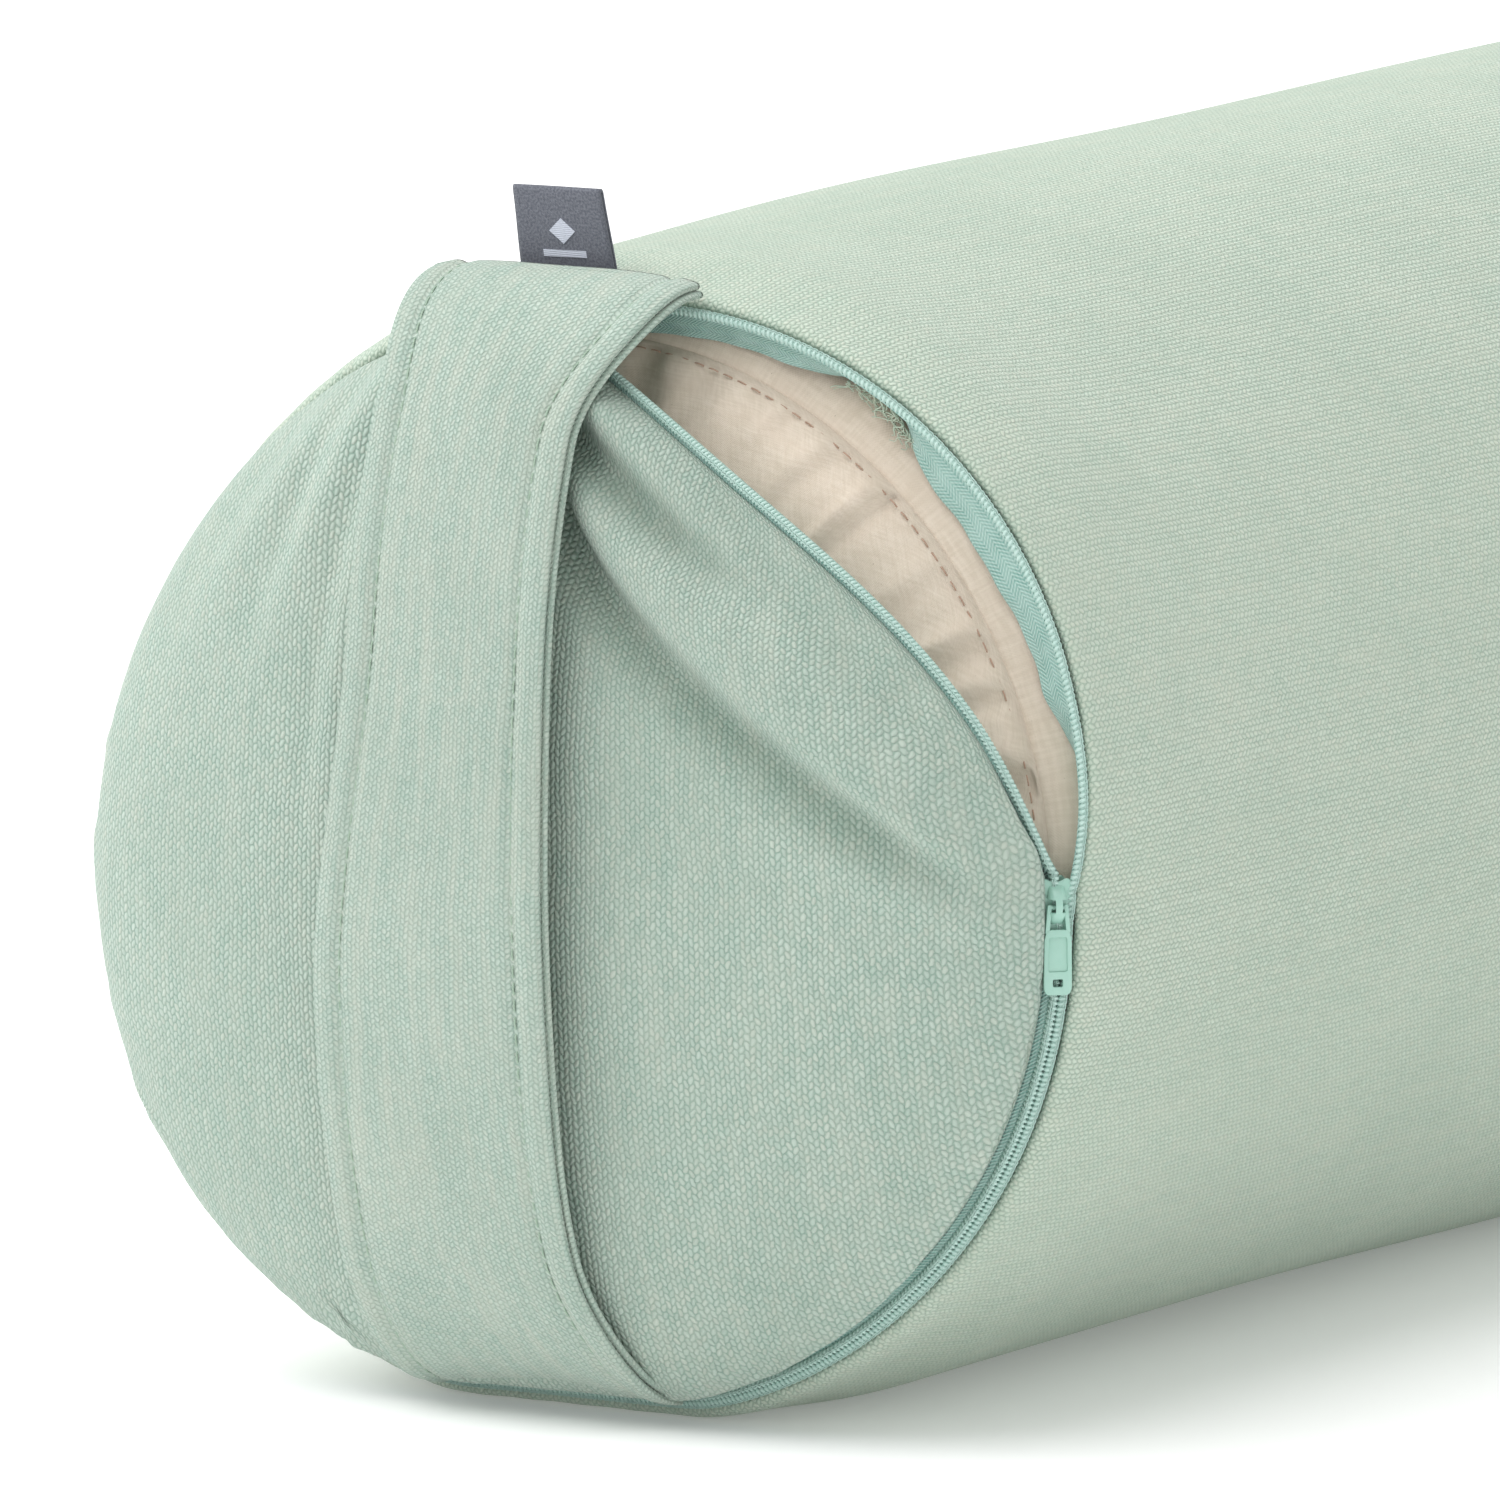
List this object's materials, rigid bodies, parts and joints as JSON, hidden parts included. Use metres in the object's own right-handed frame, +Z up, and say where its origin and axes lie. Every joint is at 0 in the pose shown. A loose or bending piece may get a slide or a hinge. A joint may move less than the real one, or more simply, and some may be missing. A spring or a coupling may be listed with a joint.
{
  "type": "bolster pillow",
  "caption": "Round bolster cushion with crowned ends, a zipped canvas cover left partly open over its inner casing, and a carrying strap across one end.",
  "frame": {"origin": "on the floor under the middle of the cushion", "axes": "+X runs along the cushion from the zip and strap end to the plain end, +Z up, +Y completes the right-handed frame"},
  "size_m": [0.659, 0.2204, 0.2346],
  "materials": {
    "cover_canvas": "mint cotton canvas in a fine basket weave",
    "strap_canvas": "the cover's canvas, doubled and stitched",
    "label_weave": "grey woven ribbon, matte",
    "zip_tape": "mint herringbone tape",
    "zip_coil": "mint nylon coil",
    "zip_metal": "mint enamel, satin",
    "casing_cotton": "undyed cotton, plain weave",
    "fibre_fill": "loose plant fibre"
  },
  "bodies": {
    "cushion": {"cover_tube": "cover_canvas", "cover_zip_end_panel": "cover_canvas", "cover_plain_end_panel": "cover_canvas", "cover_plain_end_seam_allowance": "cover_canvas", "cover_zip_end_seam_allowance": "cover_canvas", "cover_long_seam_allowance": "cover_canvas", "zip_coil_tube_side": "zip_coil", "zip_coil_panel_side": "zip_coil", "zip_tape_tube_side": "zip_tape", "zip_tape_panel_side": "zip_tape", "zip_top_stop_tube_side": "zip_metal", "zip_top_stop_panel_side": "zip_metal", "zip_bottom_stop": "zip_metal", "casing_tube": "casing_cotton", "casing_zip_end_panel": "casing_cotton", "casing_plain_end_panel": "casing_cotton", "casing_zip_end_seam_allowance": "casing_cotton", "casing_plain_end_seam_allowance": "casing_cotton", "casing_long_seam_allowance": "casing_cotton", "filling_core": "fibre_fill"},
    "strap": {"handle_strap_face": "strap_canvas", "handle_strap_back": "strap_canvas"},
    "label": {"label_tab": "label_weave"},
    "slider": {"zip_slider_body": "zip_metal"},
    "pull": {"zip_pull_tab": "zip_metal"},
    "lock": {"zip_lock_pin": "zip_metal"}
  },
  "joints": [
    {"name": "strap_lift", "type": "slide", "parent": "cushion", "child": "strap", "axis": [-1, 0, 0], "range_m": [0, 0.02], "stiffness_N_per_m": 150},
    {"name": "label_flex", "type": "hinge", "parent": "cushion", "child": "label", "pos_m": [-0.2829, 0.0025, 0.2172], "axis": [0, 1, 0], "range_deg": [-40, 75], "stiffness_Nm_per_rad": 0.003},
    {"name": "zip_slider_travel", "type": "hinge", "parent": "cushion", "child": "slider", "pos_m": [-0.287, 0, 0.1062], "axis": [1, 0, 0], "range_deg": [-62, 150], "deforming": ["zip_coil_tube_side", "zip_coil_panel_side", "zip_tape_tube_side", "zip_tape_panel_side"]},
    {"name": "zip_pull_flip", "type": "hinge", "parent": "slider", "child": "pull", "pos_m": [-0.28912, -0.10812, 0.1062], "axis": [-0.7071, 0.7071, 0], "range_deg": [0, 165]},
    {"name": "zip_lock_lift", "type": "slide", "parent": "slider", "child": "lock", "axis": [-0.7071, -0.7071, 0], "range_m": [0, 0.0006]}
  ],
  "couplings": [
    {"joint": "zip_lock_lift", "follows": "zip_pull_flip", "m_per_rad": 0.000208}
  ]
}
